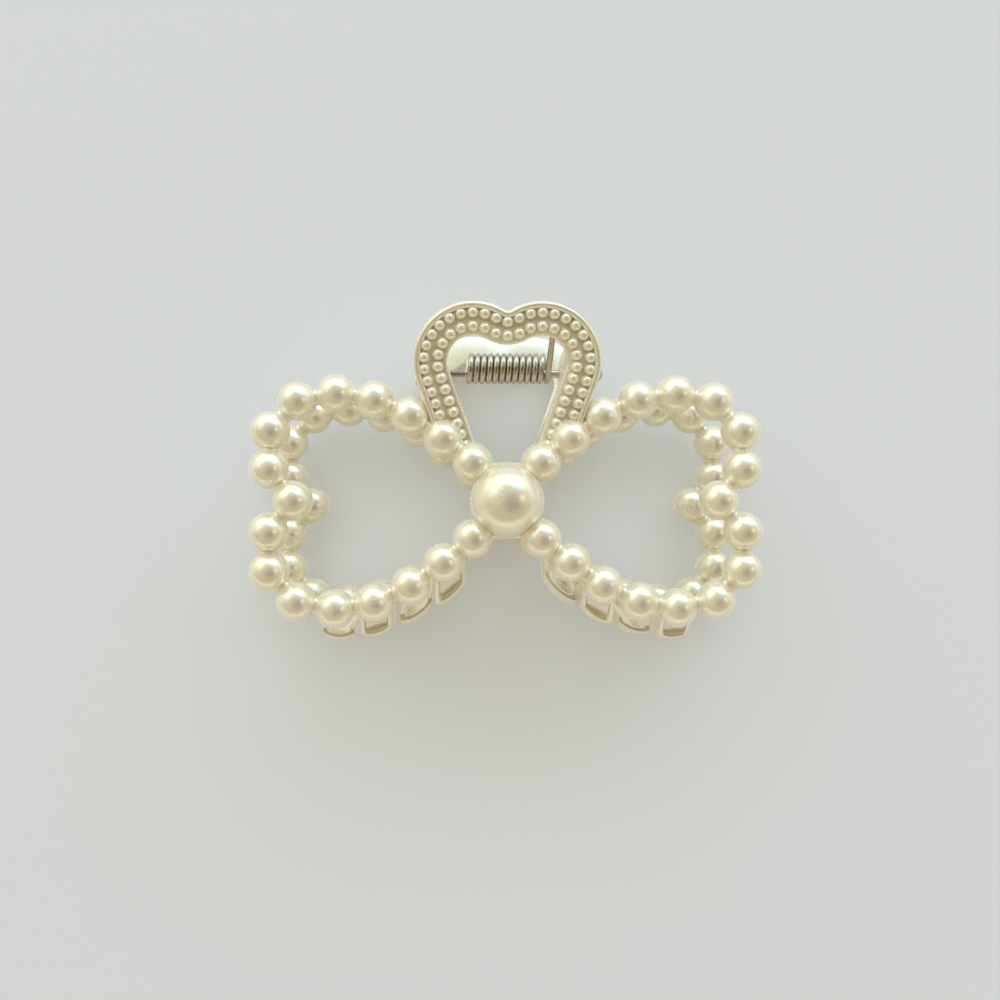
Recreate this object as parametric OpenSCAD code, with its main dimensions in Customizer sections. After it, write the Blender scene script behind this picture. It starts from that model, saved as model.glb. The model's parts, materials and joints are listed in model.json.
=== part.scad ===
// Claw hair clip: two identical bow-shaped jaws of moulded pearls, hinged on a
// steel pin and closed by a torsion spring. The clip lies on its rear jaw.
// In the jaw's own frame X runs along the bow, Y runs from the teeth to the
// heart-shaped grip, and Z points out of the front jaw. Z = 0 is the plane
// between the jaws, and the big centre pearl lies on X = Y = 0.

/* [Bow] */
// Radius of a strand pearl
pearl_r = 3.3; // [3:0.05:3.4]
// Radius of the centre pearl
hub_pearl_r = 6.15; // [5.8:0.05:6.4]
// Distance from the plane between the jaws to the centre pearl's middle
jaw_depth = 11.2; // [10.8:0.1:12]
// How much nearer that plane the lobes' upper and lower pearls sit
lobe_curve = 1.4; // [0.5:0.1:1.8]
// Half the width of the web that joins two pearls
web_half = 1.35; // [1.2:0.05:1.8]
// Thickness of that web
web_t = 2.2; // [1.6:0.1:2.6]
// Width of the plate behind the centre pearl
hub_w = 9.2; // [8:0.2:10]
// Height of the plate behind the centre pearl
hub_h = 12.6; // [12:0.2:13]
// Thickness of the plate behind the centre pearl
hub_t = 2; // [1.5:0.1:2.5]

/* [Heart grip] */
// Angle by which the grip flares away from the bow
flare = 16.5; // [15:0.1:18]
// Distance from the plane between the jaws to the foot of the flare
flare_z = 6.5; // [6.3:0.05:6.8]
// Width of the grip's band
band_w = 5.6; // [5.2:0.1:5.8]
// Distance of each lobe's centre from the grip's middle
lobe_x = 5.6; // [5.4:0.1:5.8]
// Height of the lobes' centres along the flare
lobe_v = 23.84; // [23.5:0.02:24.2]
// Radius of the band's middle line round a lobe
lobe_r = 7.05; // [6.9:0.05:7.2]
// Height of the band's middle line at the cleft
cleft_v = 29.35; // [29.2:0.05:29.5]
// Lean of the band's straight legs
leg_lean = 19; // [18:0.5:20]
// Length of the straight legs
leg_l = 13.5; // [13:0.1:14]
// Radius of a seed pearl
seed_r = 0.92; // [0.8:0.02:0.96]
// Distance between seed pearls along their row
seed_pitch = 1.98; // [1.9:0.01:2.05]

/* [Teeth] */
// Width of one tooth
tooth_w = 5.4; // [5:0.1:5.6]
// Wall thickness of the hollow teeth
tooth_wall = 0.8; // [0.6:0.05:1]
// Radius of the curve that a tooth's outer wall follows
tooth_curve = 26; // [24:0.5:30]
// How far a tooth's outer wall bulges beyond the pearls' middle line
tooth_bulge = 5.8; // [5.6:0.1:6.2]
// Radius by which that wall is rounded along the lobe
tooth_round = 5; // [4.5:0.1:8]
// Height at which the outer wall ends below the pearls
tooth_wall_z = 6; // [4:0.5:7]
// How far a tooth reaches past the plane between the jaws
tooth_reach = 5.2; // [4:0.1:5.4]

/* [Hinge] */
// Height of the hinge's axis above the centre pearl
pivot_y = 22.9; // [22.5:0.1:23.2]
// Radius of the hinge pin
pin_r = 0.7; // [0.6:0.05:0.8]
// Radial clearance of the pin in the ears
pin_play = 0.05; // [0.02:0.01:0.08]
// Radius of the rounded end of an ear
ear_r = 2.9; // [2.5:0.1:3.1]
// Thickness of an ear
ear_t = 2.45; // [2.2:0.05:2.5]
// Distance from the middle to the inner ear's near face
ear_x = 9.75; // [9.7:0.05:9.85]
// Gap between the inner and the outer ear
ear_gap = 0.12; // [0.1:0.02:0.2]
// Radius of the collar on the outer ear
collar_r = 2.2; // [1.8:0.1:2.4]
// Height of that collar
collar_h = 1; // [0.8:0.1:1.4]
// Radius of the pin's head
head_r = 1.5; // [1.3:0.05:1.7]
// Height of the pin's domed head
head_h = 1.6; // [1.2:0.1:1.8]

/* [Spring] */
// Diameter of the spring wire
wire_d = 1.06; // [0.9:0.02:1.1]
// Radius of the coil at the middle of its wire
coil_r = 2.12; // [2:0.02:2.3]
// Distance between two turns
coil_pitch = 1.13; // [1.12:0.01:1.16]
// How far the coil hangs off the hinge's axis
coil_sag = 0.8; // [0.5:0.1:0.8]
// X of the wire's middle where the coil starts at the rear arm
coil_x = -6.35; // [-6.5:0.05:-6.2]
// Length of each straight arm
arm_l = 14.1; // [13.8:0.1:14.2]

/* [Hidden] */
$fn = 48;

// Pearls of the upper half of a lobe, from the hub round to the waist
half_lobe = [
    [5.7, 6.3], [10.6, 10.3], [16, 14.1], [22.05, 16.85],
    [28.5, 17.9], [34.9, 16.65], [39.25, 11.6], [39.35, 5.2]
];
waist = [35.3, 0];
lobe_half_h = 17.9;

// Teeth along the lower edge of a lobe: X, height of the pearls' line, slope of that line
slots = [[9.4, 9.3, 39], [15.4, 13.7, 30], [21.9, 16.8, 17], [28.5, 17.9, -3]];

// The band's middle line is a cleft arc, a lobe arc and a straight leg on each side
cleft_d = cleft_v - lobe_v;
cleft_r = (lobe_x^2 + cleft_d^2 - lobe_r^2) / (2 * (lobe_r - cleft_d));
cleft_turn = atan2(lobe_x, cleft_d + cleft_r);
lobe_turn = 90 + cleft_turn + leg_lean;
rad = PI / 180;

// Cross-section of the band, as [across it towards its outer edge, out of its plane]:
// a bevelled back, a rolled inner edge, a low crest and a raised round rim
edge = band_w / 2;
bevel = 0.3;
back_n = -0.9;
side_n = back_n + bevel;
rim_r = 0.55;
rim_a = edge - rim_r;
rim_n = 1.25;
crest_n = 1.4;
band_profile = concat(
    [[-edge + bevel, back_n], [-edge, side_n], [-edge, 0.1], [-edge + 0.25, 0.6],
     [-edge + 0.8, 0.95], [-1.2, 1.2], [-0.4, crest_n], [0.4, crest_n], [1.1, 1.2]],
    [for (t = [180 : -30 : 0]) [rim_a + rim_r * cos(t), rim_n + rim_r * sin(t)]],
    [[edge, side_n], [edge - bevel, back_n]]
);
// Places of the two seed rows on that section, and how many seeds lie beside the middle one
outer_row = [1.05, 1.05, 14];
inner_row = [-1.2, 1.0, 15];

// The clip rests on the rear centre pearl and on the rim of the rear grip
rim_v = lobe_v + lobe_r + rim_a;
rim_y = rim_v * cos(flare) - rim_n * sin(flare);
rim_z = flare_z + rim_v * sin(flare) + rim_n * cos(flare);
rest_tilt = atan2(rim_z - jaw_depth, rim_y)
    - asin((hub_pearl_r - rim_r) / norm([rim_y, rim_z - jaw_depth]));
rest_z = jaw_depth * cos(rest_tilt) + hub_pearl_r;
// Middle of the outline, between the rear grip's top edge and the outermost teeth
top_v = lobe_v + lobe_r + edge;
top_y = (top_v * cos(flare) - side_n * sin(flare)) * cos(rest_tilt)
    + (flare_z + top_v * sin(flare) + side_n * cos(flare)) * sin(rest_tilt);
low_y = (lobe_half_h + tooth_bulge) * cos(rest_tilt);
rest_y = (low_y - top_y) / 2;

// Spring: the wire's angle round the coil, from +Y towards +Z, where it leaves for the rear arm
arm_turn = 155.5;
whole_turns = 12;
coil_sweep = 360 - 2 * arm_turn + 360 * whole_turns;
// The coil's last turn goes with the front arm, clear of the other turns along X and round the coil
end_turn = 320;
loose_gap = 0.2;
loose_turn = 10;
turn_steps = 18;
wire_sides = 8;

// Hinge: the outer ears stand just outside the inner ones, and the pin's head outside the collar
outer_ear_x = ear_x + ear_t + ear_gap;
head_play = 0.05;
pin_tail_x = -(outer_ear_x + ear_t);
pin_head_x = outer_ear_x + ear_t + collar_h + head_play;
head_sphere_r = (head_r^2 + head_h^2) / (2 * head_h);
// Where an ear's sides meet the band, and how deep its root and the collar's root sink in
ear_root = [18.8, 26.4];
ear_sink = 0.4;
collar_sink = 0.5;

// Side walls of a tooth: their inner edges at the pearls, at mid-height and at the tip,
// and their outer edges at the pearls, all across the pearls' line
wall_top_v = 0.3;
wall_mid_v = -1.4;
wall_mid_z = 4;
wall_tip_v = -3.4;
gusset_v = -1.6;
// Height at which a tooth's outer wall bulges most
bulge_z = 0.75;
// How far the side walls' tops are crowned, and how finely a tooth is divided
tooth_crown = 0.1;
tooth_steps_z = 12;
tooth_steps = 4;
// Width of the fillet between a tooth's outer wall and its side walls
tooth_fillet = 0.3;
// Between its side walls a tooth's face is scooped out behind a narrow rim: how wide that rim is,
// how deep the scoop is there, and where its floor ends inside the pearl, below its middle
tooth_rim = 0.55;
scoop_deep = 0.9;
scoop_end = [-1.8, 1.2];
scoop_t = 0.9;

// For cuts: a distance past a face
past = 1;

function pearl_z(y) = jaw_depth - lobe_curve * (y / lobe_half_h)^2;
function placed(p, side) = [side * p[0], p[1], pearl_z(p[1])];
function lobe(side) = concat(
    [for (p = half_lobe) placed(p, side)],
    [placed(waist, side)],
    [for (i = [len(half_lobe) - 1 : -1 : 0]) placed([half_lobe[i][0], -half_lobe[i][1]], side)]
);

// Middle line of the band, s along it from the cleft, a across it: [x, v, normal's angle]
function cleft_point(s, a) = let (t = s / (cleft_r - a) / rad)
    [(cleft_r - a) * sin(t), cleft_v + cleft_r - (cleft_r - a) * cos(t), 90 + t];
function lobe_point(s, a) = let (t = 90 + cleft_turn - s / (lobe_r + a) / rad)
    [lobe_x + (lobe_r + a) * cos(t), lobe_v + (lobe_r + a) * sin(t), t];
function leg_point(s, a) = [
    lobe_x + (lobe_r + a) * cos(leg_lean) - s * sin(leg_lean),
    lobe_v - (lobe_r + a) * sin(leg_lean) - s * cos(leg_lean), -leg_lean];
function cleft_l(a) = (cleft_r - a) * cleft_turn * rad;
function lobe_l(a) = (lobe_r + a) * lobe_turn * rad;
function half_line(s, a) =
    s < cleft_l(a) ? cleft_point(s, a)
    : s < cleft_l(a) + lobe_l(a) ? lobe_point(s - cleft_l(a), a)
    : leg_point(s - cleft_l(a) - lobe_l(a), a);
function band_line(s, a) = let (p = half_line(abs(s), a))
    s < 0 ? [-p[0], p[1], 180 - p[2]] : p;

// Stations for the band's sweep: closer together round the tight cleft
cleft_steps = 6;
lobe_steps = 16;
half_stations = concat(
    [for (i = [0 : cleft_steps - 1]) cleft_l(0) * i / cleft_steps],
    [for (i = [0 : lobe_steps - 1]) cleft_l(0) + lobe_l(0) * i / lobe_steps],
    [for (i = [0 : 1]) cleft_l(0) + lobe_l(0) + leg_l * i]
);
stations = concat([for (i = [len(half_stations) - 1 : -1 : 1]) -half_stations[i]], half_stations);

// A tube's faces between rings of n points, with both ends closed
function tube_faces(rings, n) = concat(
    [[for (j = [n - 1 : -1 : 0]) j]],
    [for (i = [0 : rings - 2], j = [0 : n - 1])
        [i * n + j, i * n + (j + 1) % n, (i + 1) * n + (j + 1) % n, (i + 1) * n + j]],
    [[for (j = [0 : n - 1]) (rings - 1) * n + j]]
);

// Middle of the spring wire after it has turned by t degrees, moved along X by shift
function coil_point(t, shift = 0) = [
    coil_x + shift + coil_pitch * t / 360,
    pivot_y + coil_sag + coil_r * cos(-arm_turn - t),
    coil_r * sin(-arm_turn - t)];
// Direction of the arm that leaves the coil towards +Z or -Z
function arm_way(side) = [0, sin(180 - arm_turn), side * cos(180 - arm_turn)];
function wire_ring(p, q) = let (d = (q - p) / norm(q - p), u = [1, 0, 0] - d[0] * d,
    a = u / norm(u), b = cross(a, d))
    [for (k = [0 : wire_sides - 1]) let (t = 360 * k / wire_sides)
        p + wire_d / 2 * (cos(t) * a + sin(t) * b)];

module wire(path) {
    last = len(path) - 1;
    rings = [for (i = [0 : last])
        wire_ring(path[i], i < last ? path[i + 1] : 2 * path[i] - path[i - 1])];
    polyhedron([for (r = rings, p = r) p], tube_faces(last + 1, wire_sides), convexity = 12);
}

module at_rest() translate([0, rest_y, rest_z]) rotate([rest_tilt, 0, 0]) children();
module front() at_rest() children();
module rear() at_rest() rotate([0, 180, 0]) children();
module on_flare() translate([0, 0, flare_z]) rotate([flare, 0, 0]) children();

// Direction in XY of the chain of pearls where it passes pearl i
function chain_way(pearls, i) = let (
    d = pearls[min(i + 1, len(pearls) - 1)] - pearls[max(i - 1, 0)]) atan2(d[1], d[0]);

// Each pearl's seam is turned to the side, clear of its neighbours and webs
module strand(side) {
    pearls = lobe(side);
    color("ivory") union() {
        for (i = [0 : len(pearls) - 1]) translate(pearls[i])
            rotate([0, 0, chain_way(pearls, i) + 90]) sphere(pearl_r);
        for (i = [0 : len(pearls) - 2]) {
            step = pearls[i + 1] - pearls[i];
            translate((pearls[i] + pearls[i + 1]) / 2)
                rotate([0, 0, atan2(step[1], step[0])])
                    cube([norm(step), 2 * web_half, web_t], center = true);
        }
    }
}

module centre_pearl() color("ivory") translate([0, 0, jaw_depth]) sphere(hub_pearl_r);

module hub_plate() color("ivory")
    translate([-hub_w / 2, -hub_h / 2, jaw_depth - hub_t]) cube([hub_w, hub_h, hub_t]);

module heart_ring() {
    points = [for (s = stations, q = band_profile) let (p = band_line(s, 0))
        [p[0] + q[0] * cos(p[2]), p[1] + q[0] * sin(p[2]), q[1]]];
    color("ivory") on_flare()
        polyhedron(points, tube_faces(len(stations), len(band_profile)), convexity = 6);
}

module seed_row(row) color("ivory") on_flare()
    for (i = [-row[2] : row[2]]) {
        p = band_line(i * seed_pitch, row[0]);
        translate([p[0], p[1], row[1]]) sphere(seed_r, $fn = 24);
    }

// An ear from inside the band down to the hinge, with a collar on its outer side
module ear(x, side, collar) {
    color("ivory") mirror([side < 0 ? 1 : 0, 0, 0]) translate([x, 0, 0]) difference() {
        union() {
            translate([0, pivot_y, 0]) rotate([0, 90, 0]) cylinder(r = ear_r, h = ear_t);
            rotate([90, 0, 90]) linear_extrude(ear_t) polygon([
                [pivot_y - ear_r, 0],
                for (y = ear_root) [y, flare_z + y * tan(flare) - ear_sink],
                [pivot_y + ear_r, 0]]);
            if (collar > 0) translate([ear_t - collar_sink, pivot_y, 0]) rotate([0, 90, 0])
                cylinder(r = collar_r, h = collar + collar_sink);
        }
        translate([-past, pivot_y, 0]) rotate([0, 90, 0])
            cylinder(r = pin_r + pin_play, h = ear_t + collar + 2 * past);
    }
}

module inner_ear() ear(ear_x, 1, 0);
module outer_ear() ear(outer_ear_x, -1, collar_h);

// How far across the pearls' line a tooth's outer wall stands at height z, u beside its middle
function tooth_out(u, z) = tooth_curve - tooth_bulge - sqrt(tooth_curve^2 - (z - bulge_z)^2)
    + tooth_round - sqrt(tooth_round^2 - u^2);

function tooth_levels(top) = [for (i = [0 : tooth_steps_z])
    (top + tooth_reach) * i / tooth_steps_z - tooth_reach];

// Section of a tooth u beside its middle, as [inwards across the pearls' line, height]: up its
// outer face, over its top and down its inner face. Only the side walls reach the pearls' middle.
function tooth_section(u, top_z) = let (
    side_wall = abs(u) > tooth_w / 2 - tooth_wall - tooth_fillet / 2,
    rim_v = tooth_out(u, tooth_wall_z) + tooth_rim,
    scoop_z = tooth_wall_z - scoop_deep,
    inner_top_z = side_wall ? tooth_wall_z : scoop_z - scoop_t,
    side_edge = [[-tooth_reach, wall_tip_v], [wall_mid_z, wall_mid_v], [top_z, wall_top_v]])
    concat(
        [for (z = tooth_levels(tooth_wall_z)) [tooth_out(u, z), z]],
        side_wall ? [[gusset_v, top_z], [gusset_v / 2, top_z + tooth_crown],
            [0, top_z + tooth_crown], [wall_top_v, top_z]]
            : [[rim_v, tooth_wall_z], [rim_v, scoop_z], [scoop_end[0], top_z - scoop_end[1]],
            [scoop_end[0], top_z - scoop_end[1] - scoop_t]],
        [for (i = [tooth_steps_z : -1 : 0]) let (z = tooth_levels(inner_top_z)[i])
            [side_wall ? lookup(z, side_edge) : tooth_out(u, z) + tooth_wall, z]]
    );

module tooth(index, side) color("ivory") mirror([side < 0 ? 1 : 0, 0, 0]) {
    slot = slots[index];
    top_z = pearl_z(slot[1]);
    half = tooth_w / 2;
    inner = half - tooth_wall;
    span = inner - tooth_fillet;
    places = concat([-half, -inner], [for (i = [-tooth_steps : tooth_steps]) span * i / tooth_steps],
        [inner, half]);
    sections = [for (u = places) tooth_section(u, top_z)];
    points = [for (i = [0 : len(places) - 1], q = sections[i]) let (u = places[i])
        [slot[0] + u, -slot[1] - u * tan(slot[2]) + q[0] / cos(slot[2]), q[1]]];
    polyhedron(points, tube_faces(len(places), len(sections[0])), convexity = 6);
}

module hinge_pin() color("silver") at_rest() translate([0, pivot_y, 0]) rotate([0, 90, 0]) union() {
    translate([0, 0, pin_tail_x]) cylinder(r = pin_r, h = pin_head_x - pin_tail_x + head_h / 2);
    translate([0, 0, pin_head_x]) intersection() {
        translate([0, 0, head_h - head_sphere_r]) sphere(head_sphere_r);
        cylinder(r = 2 * head_r, h = head_h + past);
    }
}

module spring_coil() color("silver") at_rest() {
    sweep = coil_sweep - end_turn - loose_turn;
    steps = round(sweep / 360 * turn_steps);
    wire([for (i = [0 : steps]) coil_point(sweep * i / steps)]);
}

// The front arm keeps the coil's last turn, so that it stays on the pin as the jaws open
module spring_arm_front() color("silver") at_rest() {
    steps = round(end_turn / 360 * turn_steps);
    turn = [for (i = [0 : steps])
        coil_point(coil_sweep - end_turn + end_turn * i / steps, loose_gap)];
    wire(concat(turn, [turn[steps] + arm_l * arm_way(1)]));
}

module spring_arm_rear() color("silver") at_rest()
    wire([coil_point(0), coil_point(0) + arm_l * arm_way(-1)]);

front() strand(-1);  // front_strand_left
front() strand(1);  // front_strand_right
front() centre_pearl();  // front_centre_pearl
front() hub_plate();  // front_hub_plate
front() heart_ring();  // front_heart_ring
front() seed_row(outer_row);  // front_seed_row_outer
front() seed_row(inner_row);  // front_seed_row_inner
front() inner_ear();  // front_inner_ear
front() outer_ear();  // front_outer_ear
front() tooth(0, -1);  // front_tooth_left_inner
front() tooth(2, -1);  // front_tooth_left_outer
front() tooth(1, 1);  // front_tooth_right_inner
front() tooth(3, 1);  // front_tooth_right_outer
rear() strand(1);  // rear_strand_left
rear() strand(-1);  // rear_strand_right
rear() centre_pearl();  // rear_centre_pearl
rear() hub_plate();  // rear_hub_plate
rear() heart_ring();  // rear_heart_ring
rear() seed_row(outer_row);  // rear_seed_row_outer
rear() seed_row(inner_row);  // rear_seed_row_inner
rear() inner_ear();  // rear_inner_ear
rear() outer_ear();  // rear_outer_ear
rear() tooth(1, 1);  // rear_tooth_left_inner
rear() tooth(3, 1);  // rear_tooth_left_outer
rear() tooth(0, -1);  // rear_tooth_right_inner
rear() tooth(2, -1);  // rear_tooth_right_outer
hinge_pin();
spring_coil();
spring_arm_front();
spring_arm_rear();
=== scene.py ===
"""Looks of the pearl bow claw clip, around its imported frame.

Shapes are worked out in millimetres in a jaw's own frame: X along the bow, Y from the teeth to the
heart grip, Z out of the jaw, with Z = 0 between the jaws. They are then placed in the row frame,
where the front jaw is as it stands and the rear jaw is the same moulding turned half a turn about Y.
"""
import json
import math

import bpy
import numpy as np
from mathutils import Matrix, Vector


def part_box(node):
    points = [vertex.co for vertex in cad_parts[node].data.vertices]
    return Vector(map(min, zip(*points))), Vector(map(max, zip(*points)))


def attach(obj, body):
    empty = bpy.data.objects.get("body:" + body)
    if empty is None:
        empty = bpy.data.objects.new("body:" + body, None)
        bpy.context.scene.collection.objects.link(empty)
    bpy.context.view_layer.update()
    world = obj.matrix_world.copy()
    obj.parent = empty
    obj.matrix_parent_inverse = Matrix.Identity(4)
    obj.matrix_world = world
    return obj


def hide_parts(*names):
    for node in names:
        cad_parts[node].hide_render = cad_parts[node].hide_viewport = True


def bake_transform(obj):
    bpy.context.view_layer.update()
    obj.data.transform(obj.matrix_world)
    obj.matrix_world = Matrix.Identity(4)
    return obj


MM = 0.001
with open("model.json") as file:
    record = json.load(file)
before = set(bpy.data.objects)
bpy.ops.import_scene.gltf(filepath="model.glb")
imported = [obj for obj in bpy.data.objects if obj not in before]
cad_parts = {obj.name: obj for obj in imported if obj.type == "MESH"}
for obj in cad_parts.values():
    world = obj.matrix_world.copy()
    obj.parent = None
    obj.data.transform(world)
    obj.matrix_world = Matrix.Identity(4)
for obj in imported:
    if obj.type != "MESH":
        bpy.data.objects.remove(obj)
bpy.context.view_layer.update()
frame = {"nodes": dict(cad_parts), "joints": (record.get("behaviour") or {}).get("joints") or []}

# Sizes of the even mesh that each cast part starts from
STRAND_VOXEL = 0.2
HUB_VOXEL = 0.17
SMALL_VOXEL = 0.13

# Pearls and the webs that join them
PEARL_R = 3.3
HUB_PEARL_R = 6.15
LOBE_CURVE = 1.4
LOBE_HALF_H = 17.9
WEB_HALF = 1.35
WEB_T = 2.2
WEB_EDGE_R = 1.0
PEARL_CREASE = 0.05
WEB_FILLET = 0.25
HUB_W, HUB_H, HUB_T = 9.2, 12.6, 2.0
HUB_EDGE_R = 0.45
HUB_FILLET = 0.6
HALF_LOBE = [(5.7, 6.3), (10.6, 10.3), (16, 14.1), (22.05, 16.85),
             (28.5, 17.9), (34.9, 16.65), (39.25, 11.6), (39.35, 5.2)]
WAIST = (35.3, 0)

# Heart grip: its flare, its band's middle line and its two rows of seed pearls
FLARE = math.radians(16.5)
FLARE_Z = 6.5
BAND_W = 5.6
LOBE_X = 5.6
LOBE_V = 23.84
LOBE_R = 7.05
CLEFT_V = 29.35
LEG_LEAN = math.radians(19)
LEG_L = 13.5
SEED_R = 0.96
SEED_PITCH = 1.98
# Where a seed pearl's ball ends inside the band, in degrees from its top
SEED_FOOT = 125
# Each row's place across the band and above its plane, and how many seeds lie beside the middle one
SEED_ROWS = {"outer": (1.05, 1.05, 14), "inner": (-1.2, 1.0, 15)}

# Teeth: X, height of the pearls' line and that line's slope in degrees
SLOTS = [(9.4, 9.3, 39), (15.4, 13.7, 30), (21.9, 16.8, 17), (28.5, 17.9, -3)]
TOOTH_W = 5.4
TOOTH_WALL = 0.8
TOOTH_CURVE = 26
TOOTH_BULGE = 5.8
TOOTH_ROUND = 5
TOOTH_WALL_Z = 6
TOOTH_CROWN = 0.1
TOOTH_REACH = 5.2
TOOTH_EDGE_R = 0.25
BULGE_Z = 0.75
# A tooth's side walls across the pearls' line: their inner edges at the tip, at mid-height and at
# the pearls, and their outer edges at the pearls
WALL_TIP_V = -3.4
WALL_MID_V = -1.4
WALL_MID_Z = 4
WALL_TOP_V = 0.3
GUSSET_V = -1.6
# Between the side walls the face is scooped out behind a narrow rim
TOOTH_RIM = 0.55
SCOOP_DEEP = 0.9
SCOOP_END = (-1.8, 1.2)
SCOOP_T = 0.9

# Hinge and ears
PIN_R = 0.7
PIN_PLAY = 0.05
EAR_R = 2.9
EAR_T = 2.45
EAR_X = 9.75
EAR_GAP = 0.12
EAR_ROOT = (18.8, 26.4)
EAR_SINK = 0.4
EAR_EDGE_R = 0.3
COLLAR_FILLET = 0.5
BORE_EDGE_R = 0.12
COLLAR_R = 2.2
COLLAR_H = 1.0
HEAD_PLAY = 0.05
HEAD_R = 1.5
HEAD_H = 1.6
PIN_BEVEL = 0.12
RIDGE_PITCH = 0.42
RIDGE_DEPTH = 0.2
RIDGE_STEPS = 8
RIDGES_X = (-9.7, -6.9)

# Spring
WIRE_D = 1.06
COIL_R = 2.24
COIL_PITCH = 1.13
COIL_SAG = 0.9
COIL_X = -6.35
ARM_L = 14.1
ARM_TURN = math.radians(155.5)
WHOLE_TURNS = 12
LAST_TURN = math.radians(320)
COIL_SWEEP = 2 * math.pi * (1 + WHOLE_TURNS) - 2 * ARM_TURN
LOOSE_GAP = 0.2


# ---- Where things are, from the frame ----

def middle(node):
    low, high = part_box(node)
    return (low + high) / 2


def row_frames():
    """The matrices that take a jaw's own millimetres to the row frame, and the jaws' depth."""
    rear_mid, front_mid = middle("rear_centre_pearl"), middle("front_centre_pearl")
    out = (front_mid - rear_mid).normalized()
    across = Vector((1, 0, 0))
    turn = Matrix((across, out.cross(across), out)).transposed().to_4x4()
    front = Matrix.Translation((front_mid + rear_mid) / 2) @ turn @ Matrix.Scale(MM, 4)
    half_turn = Matrix.Rotation(math.pi, 4, "Y")
    return {"front": front, "rear": front @ half_turn}, (front_mid - rear_mid).length / 2 / MM


PLACES, JAW_DEPTH = row_frames()
PIVOT_Y = (PLACES["front"].inverted() @ Vector(frame["joints"][0]["pos_m"])).y


# ---- Small kit of shapes as distance fields, in millimetres ----

def soft_min(a, b, reach):
    """The smaller of two distances, with a fillet where they are within reach of each other."""
    share = np.clip(0.5 + 0.5 * (b - a) / reach, 0, 1)
    return b + (a - b) * share - reach * share * (1 - share)


def soft_max(a, b, reach):
    return -soft_min(-a, -b, reach)


def ball(p, centre, radius):
    return np.linalg.norm(p - np.array(centre, float), axis=1) - radius


def slab(p, centre, half, edge_r, turn=0.0):
    """A box with rounded edges, turned about Z."""
    q = p - np.array(centre, float)
    c, s = math.cos(turn), math.sin(turn)
    q = np.stack([q[:, 0] * c + q[:, 1] * s, q[:, 1] * c - q[:, 0] * s, q[:, 2]], 1)
    d = np.abs(q) - (np.array(half, float) - edge_r)
    return np.linalg.norm(np.maximum(d, 0), axis=1) + np.minimum(d.max(1), 0) - edge_r


def settle(points, field, rounds=5, step=0.01):
    """Moves points along the field's slope until they lie on its surface."""
    for _ in range(rounds):
        slope = np.stack([(field(points + step * axis) - field(points - step * axis)) / (2 * step)
                          for axis in np.eye(3)], 1)
        steep = np.maximum((slope ** 2).sum(1), 0.25)
        points = points - (field(points) / steep)[:, None] * slope
    return points


# ---- Small kit of meshes ----

def mesh_object(name, points, faces, matrix, smooth_angle=180):
    """A mesh from points in a jaw's millimetres, placed by matrix, with smooth shading."""
    mesh = bpy.data.meshes.new(name)
    mesh.from_pydata([tuple(p) for p in np.asarray(points, float).tolist()], [], faces)
    mesh.transform(matrix)
    mesh.validate()
    mesh.shade_smooth()
    if smooth_angle < 180:
        mesh.set_sharp_from_angle(angle=math.radians(smooth_angle))
    obj = bpy.data.objects.new(name, mesh)
    bpy.context.scene.collection.objects.link(obj)
    return obj


def node_cast(voxel, *nodes):
    """Points and faces of front CAD nodes' common outer skin, evenly meshed, in millimetres."""
    points, faces = joined(
        ([v.co for v in mesh.vertices], [tuple(f.vertices) for f in mesh.polygons])
        for mesh in (frame["nodes"][f"front_{name}"].data for name in nodes))
    mesh = bpy.data.meshes.new("cast")
    mesh.from_pydata(points, [], faces)
    mesh.transform(PLACES["front"].inverted())
    cast = bpy.data.objects.new("cast", mesh)
    bpy.context.scene.collection.objects.link(cast)
    remesh = cast.modifiers.new("even", "REMESH")
    remesh.mode = "VOXEL"
    remesh.voxel_size = voxel
    done = cast.evaluated_get(bpy.context.evaluated_depsgraph_get()).to_mesh()
    points = np.empty(len(done.vertices) * 3)
    done.vertices.foreach_get("co", points)
    faces = [tuple(f.vertices) for f in done.polygons]
    bpy.data.objects.remove(cast)
    bpy.data.meshes.remove(mesh)
    return points.reshape(-1, 3), faces


def tube_faces(rings, n):
    """Faces between rings of n points, with both ends closed."""
    sides = [(i * n + j, i * n + (j + 1) % n, (i + 1) * n + (j + 1) % n, (i + 1) * n + j)
             for i in range(rings - 1) for j in range(n)]
    return sides + [tuple(range(n - 1, -1, -1)), tuple((rings - 1) * n + j for j in range(n))]


# How far the rings of a rounded end stand out, and how wide they are, as shares of the radius
ROUND_END = [(1.0, 0.02), (0.75, 0.66), (0.35, 0.94)]


def wire_mesh(path, radius, sides):
    """Rings of points along a path, with no twist, and rounded ends."""
    path = np.array(path, float)
    way = np.gradient(path, axis=0)
    way /= np.linalg.norm(way, axis=1)[:, None]
    start = [(path[0] + way[0] * radius * (1 - out), way[0], share) for out, share in ROUND_END]
    end = [(path[-1] - way[-1] * radius * (1 - out), way[-1], share) for out, share in ROUND_END[::-1]]
    stations = start + [(p, w, 1.0) for p, w in zip(path[1:-1], way[1:-1])] + end
    side = np.array((1.0, 0, 0))
    points = []
    for place, w, share in stations:
        side = side - side.dot(w) * w
        side /= np.linalg.norm(side)
        up = np.cross(w, side)
        points += [place + radius * share * (math.cos(t) * side + math.sin(t) * up)
                   for t in np.linspace(0, 2 * math.pi, sides, endpoint=False)]
    return points, tube_faces(len(stations), sides)


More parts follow.
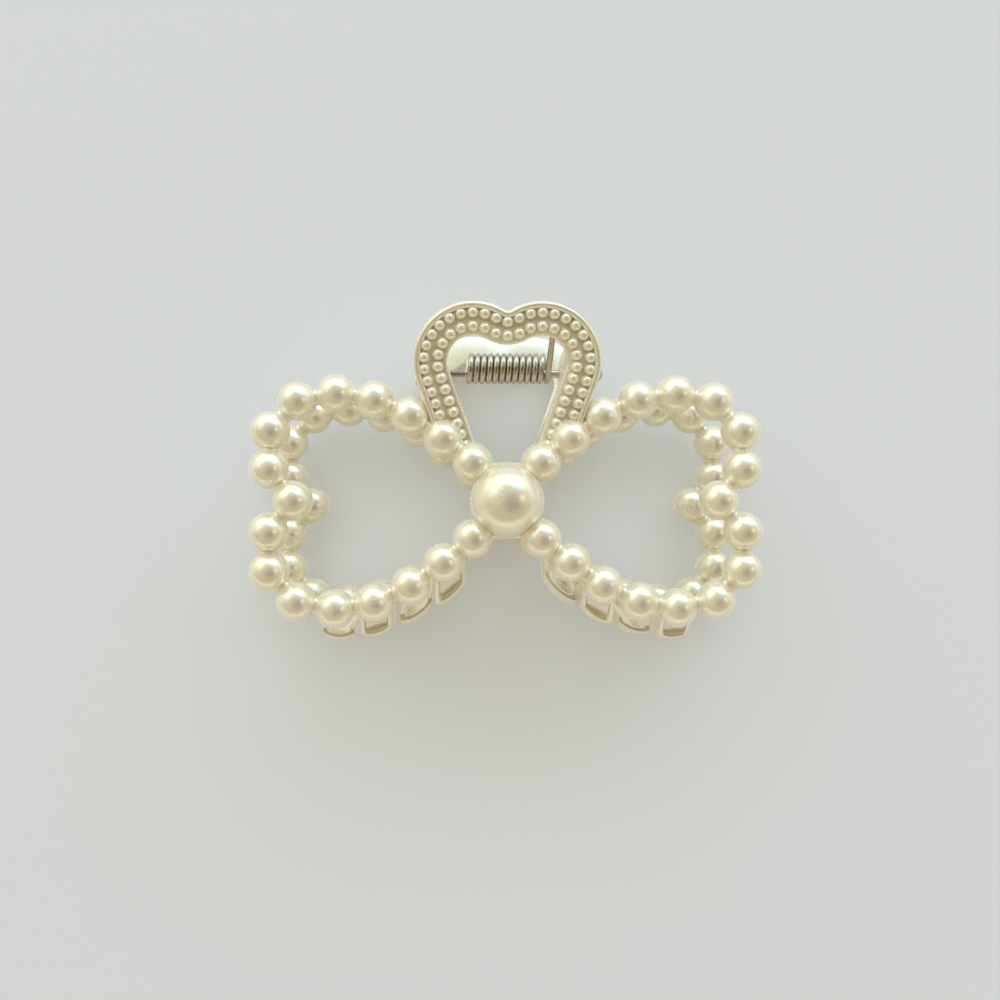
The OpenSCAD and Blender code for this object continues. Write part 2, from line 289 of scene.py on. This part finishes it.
def lathe(profile, sides, base, axis, up):
    """Turns (radius, height) pairs about an axis; the first and last points close the ends."""
    base, axis, up = (np.array(v, float) for v in (base, axis, up))
    third = np.cross(axis, up)
    points = [base + h * axis + r * (math.cos(t) * up + math.sin(t) * third)
              for r, h in profile for t in np.linspace(0, 2 * math.pi, sides, endpoint=False)]
    return points, tube_faces(len(profile), sides)


def joined(parts):
    """Several (points, faces) as one."""
    points, faces = [], []
    for new_points, new_faces in parts:
        faces += [tuple(i + len(points) for i in f) for f in new_faces]
        points += list(new_points)
    return points, faces


# ---- Materials ----

def new_material(name):
    material = bpy.data.materials.new(name)
    material.use_nodes = True
    tree = material.node_tree
    return material, tree, tree.nodes["Principled BSDF"]


def node(tree, kind, settings=None, **inputs):
    made = tree.nodes.new(kind)
    for key, value in (settings or {}).items():
        setattr(made, key, value)
    for key, value in inputs.items():
        made.inputs[key.replace("_", " ")].default_value = value
    return made


def pearl_material():
    """Cream pearl lacquer over moulded plastic: flaky gloss with a faint cloudy tint."""
    material, tree, shader = new_material("pearl_lacquer")
    link = tree.links.new
    shader.inputs["Metallic"].default_value = 0.62
    shader.inputs["IOR"].default_value = 1.5
    shader.inputs["Subsurface Weight"].default_value = 0.25
    shader.inputs["Subsurface Radius"].default_value = (1.0, 0.8, 0.5)
    shader.inputs["Subsurface Scale"].default_value = 0.0012
    shader.inputs["Specular Tint"].default_value = (1.0, 0.93, 0.76, 1)
    shader.inputs["Coat Weight"].default_value = 0.4
    shader.inputs["Coat Roughness"].default_value = 0.16
    shader.inputs["Sheen Weight"].default_value = 0.8
    shader.inputs["Sheen Roughness"].default_value = 0.4
    shader.inputs["Sheen Tint"].default_value = (1.0, 0.96, 0.84, 1)
    place = node(tree, "ShaderNodeTexCoord")
    cloud = node(tree, "ShaderNodeTexNoise", Scale=260.0, Detail=3.0)
    tint = node(tree, "ShaderNodeValToRGB")
    tint.color_ramp.elements[0].color = (0.86, 0.81, 0.63, 1)
    tint.color_ramp.elements[1].color = (0.95, 0.92, 0.80, 1)
    rough = node(tree, "ShaderNodeMapRange", To_Min=0.24, To_Max=0.3)
    grain = node(tree, "ShaderNodeTexNoise", Scale=2600.0, Detail=2.0)
    bump = node(tree, "ShaderNodeBump", Strength=0.06, Distance=0.0001)
    link(place.outputs["Object"], cloud.inputs["Vector"])
    link(place.outputs["Object"], grain.inputs["Vector"])
    link(cloud.outputs["Fac"], tint.inputs["Fac"])
    link(cloud.outputs["Fac"], rough.inputs["Value"])
    link(grain.outputs["Fac"], bump.inputs["Height"])
    link(tint.outputs["Color"], shader.inputs["Base Color"])
    link(rough.outputs["Result"], shader.inputs["Roughness"])
    link(bump.outputs["Normal"], shader.inputs["Normal"])
    return material


def steel_material():
    """Nickel-plated wire with fine drawn scratches."""
    material, tree, shader = new_material("nickel_steel")
    link = tree.links.new
    shader.inputs["Metallic"].default_value = 1.0
    place = node(tree, "ShaderNodeTexCoord")
    scratch = node(tree, "ShaderNodeTexNoise", Scale=700.0, Detail=2.0)
    tint = node(tree, "ShaderNodeValToRGB")
    tint.color_ramp.elements[0].color = (0.52, 0.48, 0.39, 1)
    tint.color_ramp.elements[1].color = (0.70, 0.66, 0.56, 1)
    rough = node(tree, "ShaderNodeMapRange", To_Min=0.14, To_Max=0.24)
    bump = node(tree, "ShaderNodeBump", Strength=0.04, Distance=0.00005)
    link(place.outputs["Object"], scratch.inputs["Vector"])
    link(scratch.outputs["Fac"], tint.inputs["Fac"])
    link(scratch.outputs["Fac"], rough.inputs["Value"])
    link(scratch.outputs["Fac"], bump.inputs["Height"])
    link(tint.outputs["Color"], shader.inputs["Base Color"])
    link(rough.outputs["Result"], shader.inputs["Roughness"])
    link(bump.outputs["Normal"], shader.inputs["Normal"])
    return material


def painted_glow_floor_material():
    """Pale matt stone with a painted glow: a warm emission that lightens the shadows on the floor and warms
    them, as fill light would.
    """
    material, _, shader = new_material("pale_floor_with_painted_glow")
    shader.inputs["Base Color"].default_value = (0.36, 0.405, 0.475, 1)
    # Painted light: the floor glows warm so that its shadows come out lighter and warmer. The bluish base
    # colour keeps the lit floor neutral.
    shader.inputs["Emission Color"].default_value = (1.0, 0.91, 0.72, 1)
    shader.inputs["Emission Strength"].default_value = 0.26
    shader.inputs["Roughness"].default_value = 0.6
    return material


PEARL = pearl_material()
STEEL = steel_material()


def dressed(obj, material, slot, *nodes):
    """Gives a piece its material and hides the CAD nodes that it stands for. The slot is not used."""
    obj.data.materials.append(material)
    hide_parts(*nodes)
    return obj


def pearl_piece(shape, jaw, name, *nodes):
    """A jaw's piece from (points, faces) in its own millimetres, for the node of its name or others."""
    obj = mesh_object(f"{jaw}_{name}_piece", *shape, PLACES[jaw])
    dressed(obj, PEARL, "pearl_plastic", *(f"{jaw}_{node}" for node in nodes or [name]))
    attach(obj, f"{jaw}_jaw")


# ---- Strands, hub and centre pearl ----

def pearl_z(y):
    return JAW_DEPTH - LOBE_CURVE * (y / LOBE_HALF_H) ** 2


def lobe(side):
    """Pearl centres round one lobe, from above the hub round to below it."""
    upper = [(side * x, y) for x, y in HALF_LOBE]
    lower = [(x, -y) for x, y in reversed(upper)]
    return [np.array((x, y, pearl_z(y))) for x, y in upper + [(side * WAIST[0], WAIST[1])] + lower]


def strand_field(side):
    pearls = lobe(side)

    def field(p):
        balls = ball(p, pearls[0], PEARL_R)
        for centre in pearls[1:]:
            balls = soft_min(balls, ball(p, centre, PEARL_R), PEARL_CREASE)
        webs = np.full(len(p), np.inf)
        for a, b in zip(pearls, pearls[1:]):
            step = b - a
            half = (np.linalg.norm(step) / 2, WEB_HALF, WEB_T / 2)
            webs = np.minimum(webs, slab(p, (a + b) / 2, half, WEB_EDGE_R,
                                         math.atan2(step[1], step[0])))
        return soft_min(balls, webs, WEB_FILLET)
    return field


def strand_shape(side):
    points, faces = node_cast(STRAND_VOXEL, "strand_left" if side < 0 else "strand_right")
    return settle(points, strand_field(side)), faces


def hub_field(p):
    """The centre pearl with the plate that it grows out of."""
    plate = slab(p, (0, 0, JAW_DEPTH - HUB_T / 2), (HUB_W / 2, HUB_H / 2, HUB_T / 2), HUB_EDGE_R)
    return soft_min(ball(p, (0, 0, JAW_DEPTH), HUB_PEARL_R), plate, HUB_FILLET)


def hub_shape():
    points, faces = node_cast(HUB_VOXEL, "centre_pearl", "hub_plate")
    return settle(points, hub_field), faces


# ---- Heart grip ----

EDGE = BAND_W / 2
CLEFT_D = CLEFT_V - LOBE_V
CLEFT_R = (LOBE_X ** 2 + CLEFT_D ** 2 - LOBE_R ** 2) / (2 * (LOBE_R - CLEFT_D))
CLEFT_TURN = math.atan2(LOBE_X, CLEFT_D + CLEFT_R)
LOBE_TURN = math.pi / 2 + CLEFT_TURN + LEG_LEAN


def band_line(s, a):
    """Middle line of the band at s along it from the cleft, a across it: (x, v, normal's angle)."""
    side, s = (-1, -s) if s < 0 else (1, s)
    cleft_l = (CLEFT_R - a) * CLEFT_TURN
    lobe_l = (LOBE_R + a) * LOBE_TURN
    if s < cleft_l:
        t = s / (CLEFT_R - a)
        x, v = (CLEFT_R - a) * math.sin(t), CLEFT_V + CLEFT_R - (CLEFT_R - a) * math.cos(t)
        normal = math.pi / 2 + t
    elif s < cleft_l + lobe_l:
        normal = math.pi / 2 + CLEFT_TURN - (s - cleft_l) / (LOBE_R + a)
        x = LOBE_X + (LOBE_R + a) * math.cos(normal)
        v = LOBE_V + (LOBE_R + a) * math.sin(normal)
    else:
        down = s - cleft_l - lobe_l
        x = LOBE_X + (LOBE_R + a) * math.cos(LEG_LEAN) - down * math.sin(LEG_LEAN)
        v = LOBE_V - (LOBE_R + a) * math.sin(LEG_LEAN) - down * math.cos(LEG_LEAN)
        normal = -LEG_LEAN
    return (x, v, normal) if side > 0 else (-x, v, math.pi - normal)


def on_flare(x, v, n):
    """From the grip's plane, flared out from the bow, to the jaw's own frame."""
    c, s = math.cos(FLARE), math.sin(FLARE)
    return (x, v * c - n * s, FLARE_Z + v * s + n * c)


def arc(centre, radius, start, end, count):
    return [(centre[0] + radius * math.cos(math.radians(t)), centre[1] + radius * math.sin(math.radians(t)))
            for t in np.linspace(start, end, count)]


def band_profile():
    """The band's cross-section: (across towards its outer edge, out of its plane)."""
    back, rim_r, rim_n, corner = -0.9, 0.55, 1.25, 0.3
    seat = [(-EDGE + 0.30, 0.62), (-EDGE + 0.7, 0.75), (-1.6, 0.8), (-1.2, 0.84), (-0.8, 0.9),
            (-0.4, 0.97), (0, 1.0), (0.4, 0.97), (0.8, 0.9), (1.2, 0.84), (1.45, 0.78), (1.62, 0.74)]
    rim = arc((EDGE - rim_r, rim_n), rim_r, 215, 0, 13)
    return (arc((-EDGE + corner, back + corner), corner, 270, 180, 5) + [(-EDGE, -0.2)]
            + arc((-EDGE + 0.45, 0.2), 0.45, 180, 120, 4) + seat + rim
            + [(EDGE, 0.6), (EDGE, 0.0)] + arc((EDGE - corner, back + corner), corner, 0, -90, 5))


def heart_ring_shape():
    total = CLEFT_R * CLEFT_TURN + LOBE_R * LOBE_TURN + LEG_L
    stations = np.linspace(-total, total, 321)
    profile = band_profile()
    points = []
    for s in stations:
        x, v, normal = band_line(s, 0)
        points += [on_flare(x + a * math.cos(normal), v + a * math.sin(normal), n) for a, n in profile]
    return points, tube_faces(len(stations), len(profile))


def seed_profile():
    """A seed pearl, nearly a whole ball, with its foot in the band."""
    return [(SEED_R * math.sin(t), SEED_R * math.cos(t)) for t in np.radians(np.linspace(1, SEED_FOOT, 18))]


def seed_row_shape(row):
    a, n, beside = SEED_ROWS[row]
    up = np.array(on_flare(0, 0, 1)) - np.array(on_flare(0, 0, 0))
    parts = []
    for i in range(-beside, beside + 1):
        x, v, _ = band_line(i * SEED_PITCH, a)
        parts.append(lathe(seed_profile(), 24, on_flare(x, v, n), up, (1, 0, 0)))
    return joined(parts)


# ---- Ears ----

def ear_field(x, side, collar):
    """An ear from inside the band down to the hinge, with its bore."""
    corners = [(PIVOT_Y - EAR_R, 0)]
    corners += [(y, FLARE_Z + y * math.tan(FLARE) - EAR_SINK) for y in EAR_ROOT]
    corners.append((PIVOT_Y + EAR_R, 0))

    def web(y, z):
        """Distance to the convex plate between the hinge and the band."""
        worst = np.full(len(y), -np.inf)
        for (y0, z0), (y1, z1) in zip(corners, corners[1:] + corners[:1]):
            length = math.hypot(y1 - y0, z1 - z0)
            worst = np.maximum(worst, ((y0 - y) * (z1 - z0) - (z0 - z) * (y1 - y0)) / length)
        return worst

    def field(p):
        across = side * p[:, 0] - x
        radial = np.hypot(p[:, 1] - PIVOT_Y, p[:, 2])
        outline = np.minimum(radial - EAR_R, web(p[:, 1], p[:, 2]))
        plate = soft_max(outline, np.abs(across - EAR_T / 2) - EAR_T / 2, EAR_EDGE_R)
        if collar > 0:
            ring = soft_max(radial - COLLAR_R, np.abs(across - EAR_T / 2) - EAR_T / 2 - collar,
                            EAR_EDGE_R)
            plate = soft_min(plate, ring, COLLAR_FILLET)
        return soft_max(plate, PIN_R + PIN_PLAY - radial, BORE_EDGE_R)
    return field


def ear_shape(kind):
    outer = kind == "outer_ear"
    x = EAR_X + (EAR_T + EAR_GAP if outer else 0)
    points, faces = node_cast(SMALL_VOXEL, kind)
    return settle(points, ear_field(x, -1 if outer else 1, COLLAR_H if outer else 0)), faces


# ---- Teeth ----

def tooth_field(index, side):
    """A channel that is open inwards and at its tip. Between its side walls, which reach up to the
    pearls, a sloping floor closes it, scooped out behind the rim of the outer wall."""
    slot_x, height, slope = SLOTS[index]
    turn = math.radians(slope)
    top_z = pearl_z(height)
    half = TOOTH_W / 2
    bulge = TOOTH_CURVE - TOOTH_BULGE
    rim_v = bulge - math.sqrt(TOOTH_CURVE ** 2 - (TOOTH_WALL_Z - BULGE_Z) ** 2) + TOOTH_RIM
    scoop_z = TOOTH_WALL_Z - SCOOP_DEEP
    end_v, end_z = SCOOP_END[0], top_z - SCOOP_END[1]
    run = math.hypot(end_v - rim_v, end_z - scoop_z)

    def field(p):
        along, z = side * p[:, 0] - slot_x, p[:, 2]
        inwards = (p[:, 1] + height + along * math.tan(turn)) * math.cos(turn)
        wall_v = bulge - np.sqrt(TOOTH_CURVE ** 2 - (np.minimum(z, TOOTH_WALL_Z) - BULGE_Z) ** 2)
        rise = np.clip((z - TOOTH_WALL_Z) / (top_z - TOOTH_WALL_Z), 0, 1)
        wall_v = wall_v + (GUSSET_V - wall_v) * rise
        edge_v = np.interp(z, [-TOOTH_REACH, WALL_MID_Z, top_z], [WALL_TIP_V, WALL_MID_V, WALL_TOP_V])
        outer = np.hypot(along, inwards - wall_v - TOOTH_ROUND) - TOOTH_ROUND
        outer = np.where(inwards > wall_v + TOOTH_ROUND, -TOOTH_ROUND, outer)
        ends = np.maximum(np.maximum(z - top_z - TOOTH_CROWN, -TOOTH_REACH - z), inwards - edge_v)
        block = soft_max(soft_max(np.abs(along) - half, ends, TOOTH_EDGE_R), outer, TOOTH_EDGE_R)
        # Height above the scoop's sloping floor
        over = ((z - scoop_z) * (end_v - rim_v) - (inwards - rim_v) * (end_z - scoop_z)) / run
        scoop = soft_max(-over, np.minimum(outer + TOOTH_RIM, TOOTH_WALL_Z - z), TOOTH_EDGE_R)
        inside = soft_max(over + SCOOP_T, outer + TOOTH_WALL, TOOTH_EDGE_R)
        hollow = soft_max(np.minimum(scoop, inside), np.abs(along) - half + TOOTH_WALL, TOOTH_EDGE_R)
        return soft_max(block, -hollow, TOOTH_EDGE_R)
    return field


# ---- Pin and spring ----

def pin_shape():
    """A steel pin with a domed head, ridged next to the ear in which it is pressed."""
    outer_x = EAR_X + 2 * EAR_T + EAR_GAP
    head_x = outer_x + COLLAR_H + HEAD_PLAY
    head_sphere = (HEAD_R ** 2 + HEAD_H ** 2) / (2 * HEAD_H)
    start, end = RIDGES_X
    steps = RIDGE_STEPS * round((end - start) / RIDGE_PITCH)
    ridges = [(PIN_R - RIDGE_DEPTH * (0.5 - 0.5 * math.cos(2 * math.pi * k / RIDGE_STEPS)),
               start + (end - start) * k / steps) for k in range(steps + 1)]
    head_turn = math.degrees(math.asin(HEAD_R / head_sphere))
    dome = [(head_sphere * math.sin(t), head_x + HEAD_H - head_sphere + head_sphere * math.cos(t))
            for t in np.radians(np.linspace(head_turn, 1, 12))]
    tail = [(0.02, -outer_x), (PIN_R - PIN_BEVEL, -outer_x), (PIN_R, -outer_x + PIN_BEVEL),
            (PIN_R, start - 0.2)]
    shank = [(PIN_R, end + 0.1), (PIN_R, 0), (PIN_R, head_x), (HEAD_R - PIN_BEVEL, head_x),
             (HEAD_R, head_x + 0.1)]
    profile = tail + ridges + shank + dome[1:]
    return lathe(profile, 40, (0, PIVOT_Y, 0), (1, 0, 0), (0, 1, 0))


def coil_point(t):
    """Middle of the wire after it has turned by t; the last turn stands a little off the others."""
    loose = LOOSE_GAP * min(max((t - COIL_SWEEP + LAST_TURN) / (LAST_TURN / 2), 0), 1)
    angle = -ARM_TURN - t
    return np.array((COIL_X + loose + COIL_PITCH * t / (2 * math.pi),
                     PIVOT_Y + COIL_SAG + COIL_R * math.cos(angle), COIL_R * math.sin(angle)))


def spring_shape():
    """One wire: the rear arm, the coil and the front arm."""
    def arm_way(side):
        return np.array((0, math.sin(math.pi - ARM_TURN), side * math.cos(math.pi - ARM_TURN)))

    coil = [coil_point(t) for t in np.linspace(0, COIL_SWEEP, 48 * (WHOLE_TURNS + 1))]
    far = np.linspace(1, 0.04, 12)
    rear_arm = [coil[0] + ARM_L * k * arm_way(-1) for k in far]
    front_arm = [coil[-1] + ARM_L * k * arm_way(1) for k in far[::-1]]
    return wire_mesh(rear_arm + coil + front_arm, WIRE_D / 2, 16)


# ---- Building the clip ----

def build_jaws():
    hub = hub_shape()
    strands = {side: strand_shape(side) for side in (-1, 1)}
    shapes = {"heart_ring": heart_ring_shape(), "seed_row_outer": seed_row_shape("outer"),
              "seed_row_inner": seed_row_shape("inner"), "inner_ear": ear_shape("inner_ear"),
              "outer_ear": ear_shape("outer_ear")}
    teeth = {}
    for name, index, side in (("tooth_left_inner", 0, -1), ("tooth_left_outer", 2, -1),
                              ("tooth_right_inner", 1, 1), ("tooth_right_outer", 3, 1)):
        points, faces = node_cast(SMALL_VOXEL, name)
        teeth[name] = (settle(points, tooth_field(index, side)), faces)
    # The rear jaw is the front one turned round, so its left and right change places
    for jaw, sides in (("front", {-1: "left", 1: "right"}), ("rear", {-1: "right", 1: "left"})):
        pearl_piece(hub, jaw, "hub", "centre_pearl", "hub_plate")
        for side, word in sides.items():
            pearl_piece(strands[side], jaw, f"strand_{word}")
        for name, shape in shapes.items():
            pearl_piece(shape, jaw, name)
        for name, shape in teeth.items():
            swap = {"left": "right", "right": "left"} if jaw == "rear" else {}
            _, word, place = name.split("_")
            pearl_piece(shape, jaw, f"tooth_{swap.get(word, word)}_{place}")


def build_hinge():
    pin = mesh_object("hinge_pin_piece", *pin_shape(), PLACES["front"], smooth_angle=40)
    dressed(pin, STEEL, "spring_steel", "hinge_pin")
    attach(pin, "rear_jaw")
    spring = mesh_object("torsion_spring_piece", *spring_shape(), PLACES["front"])
    dressed(spring, STEEL, "spring_steel", "spring_coil", "spring_arm_front", "spring_arm_rear")
    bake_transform(spring)


# ---- Floor, light and camera ----

def build_floor():
    size = 3.0
    mesh = bpy.data.meshes.new("floor")
    mesh.from_pydata([(-size, -size, 0), (size, -size, 0), (size, size, 0), (-size, size, 0)], [],
                     [(0, 1, 2, 3)])
    floor = bpy.data.objects.new("floor", mesh)
    floor.data.materials.append(painted_glow_floor_material())
    bpy.context.scene.collection.objects.link(floor)


def aim(obj, place, target, up):
    """Puts obj at place with its -Z axis towards target."""
    back = (Vector(place) - Vector(target)).normalized()
    right = up.cross(back).normalized()
    turn = Matrix((right, back.cross(right), back)).transposed().to_4x4()
    obj.matrix_world = Matrix.Translation(place) @ turn


def facing(azimuth, elevation):
    """The direction to a point of the room, with azimuth counted from +X towards +Y."""
    a, e = math.radians(azimuth), math.radians(elevation)
    return Vector((math.cos(e) * math.cos(a), math.cos(e) * math.sin(a), math.sin(e)))


def glow(tree, azimuth, elevation, wide, high, soft, colour, strength):
    """Light from a soft-edged oval of the room, wide and high in degrees from its middle."""
    link = tree.links.new
    towards = facing(azimuth, elevation)
    place = node(tree, "ShaderNodeTexCoord")
    oval = node(tree, "ShaderNodeMapping", {"vector_type": "TEXTURE"})
    oval.inputs["Rotation"].default_value = towards.to_track_quat("Z", "Y").to_euler()
    oval.inputs["Scale"].default_value = (math.sin(math.radians(wide)), math.sin(math.radians(high)), 1000)
    reach = node(tree, "ShaderNodeVectorMath", {"operation": "LENGTH"})
    edge = node(tree, "ShaderNodeMapRange", {"interpolation_type": "SMOOTHSTEP"},
                From_Min=1 + soft, From_Max=1 - soft)
    ahead = node(tree, "ShaderNodeVectorMath", {"operation": "DOT_PRODUCT"})
    ahead.inputs[1].default_value = towards
    before = node(tree, "ShaderNodeMath", {"operation": "GREATER_THAN"})
    before.inputs[1].default_value = 0
    share = node(tree, "ShaderNodeMath", {"operation": "MULTIPLY"})
    tinted = node(tree, "ShaderNodeVectorMath", {"operation": "SCALE"})
    tinted.inputs[0].default_value = [strength * c for c in colour]
    link(place.outputs["Generated"], oval.inputs["Vector"])
    link(oval.outputs["Vector"], reach.inputs[0])
    link(reach.outputs["Value"], edge.inputs["Value"])
    link(place.outputs["Generated"], ahead.inputs[0])
    link(ahead.outputs["Value"], before.inputs[0])
    link(edge.outputs["Result"], share.inputs[0])
    link(before.outputs["Value"], share.inputs[1])
    link(share.outputs["Value"], tinted.inputs["Scale"])
    return tinted.outputs["Vector"]


# Azimuth, elevation, half width, half height, softness, colour and strength. The windows come first,
# then the sky and floor round about, and last the dark where somebody leans over the clip.
GLOWS = [
    (66, 32, 26, 13, 0.35, (0.22, 0.60, 1.0), 1.9),
    (138, 38, 28, 13, 0.5, (0.80, 0.95, 1.0), 0.95),
    (5, 43, 8, 8, 0.5, (1.0, 0.93, 0.78), 1.2),
    (90, 16, 88, 20, 0.5, (0.92, 0.99, 1.0), 1.0),
    (270, 2, 70, 12, 0.6, (1.0, 0.97, 0.90), 0.7),
    (330, 72, 28, 28, 0.6, (0.80, 0.83, 0.58), -0.44),
]
ROOM = (0.45, 0.40, 0.265)
BACKDROP = (0.66, 0.66, 0.65, 1)

# The overhead light: where it stands, how wide it is in degrees, its strength and its colour
OVERHEAD_AT = (95, 64)
OVERHEAD_WIDE = 80
OVERHEAD_STRENGTH = 1.75
OVERHEAD_COLOUR = (1.0, 0.985, 0.935)


def build_room():
    """A warm dim room with soft windows, and a pale backdrop where the camera sees past the floor."""
    world = bpy.data.worlds.new("room")
    bpy.context.scene.world = world
    world.use_nodes = True
    tree = world.node_tree
    link = tree.links.new
    room = tree.nodes["Background"]
    total = None
    for numbers in GLOWS:
        add = node(tree, "ShaderNodeVectorMath", {"operation": "ADD"})
        add.inputs[1].default_value = ROOM
        link(glow(tree, *numbers), add.inputs[0])
        if total:
            link(total, add.inputs[1])
        total = add.outputs["Vector"]
    link(total, room.inputs["Color"])
    backdrop = node(tree, "ShaderNodeBackground", Color=BACKDROP)
    path = node(tree, "ShaderNodeLightPath")
    mix = node(tree, "ShaderNodeMixShader")
    link(path.outputs["Is Camera Ray"], mix.inputs["Fac"])
    link(room.outputs["Background"], mix.inputs[1])
    link(backdrop.outputs["Background"], mix.inputs[2])
    link(mix.outputs["Shader"], tree.nodes["World Output"].inputs["Surface"])


def build_overhead():
    """A wide soft light from above. Reflections leave it out, so the pearls mirror only the room."""
    light = bpy.data.lights.new("overhead", "SUN")
    light.energy = OVERHEAD_STRENGTH
    light.angle = math.radians(OVERHEAD_WIDE)
    light.color = OVERHEAD_COLOUR
    obj = bpy.data.objects.new("overhead", light)
    obj.rotation_euler = facing(*OVERHEAD_AT).to_track_quat("Z", "Y").to_euler()
    obj.visible_glossy = False
    bpy.context.scene.collection.objects.link(obj)


# Focal length in millimetres, and places in metres
LENS = 38.6
CAMERA_AT = (-0.00655, -0.01392, 0.20592)
LOOKS_AT = (-0.00084, -0.00392, 0.01736)
CAMERA_UP = Vector((0.0027, 1, 0))


def build_camera():
    camera = bpy.data.cameras.new("camera")
    camera.sensor_width = 36
    camera.lens = LENS
    camera.clip_start = 0.01
    obj = bpy.data.objects.new("camera", camera)
    bpy.context.scene.collection.objects.link(obj)
    aim(obj, CAMERA_AT, LOOKS_AT, CAMERA_UP)
    bpy.context.scene.camera = obj


build_jaws()
build_hinge()
build_floor()
build_room()
build_overhead()
build_camera()
bpy.context.scene.view_settings.view_transform = "Standard"
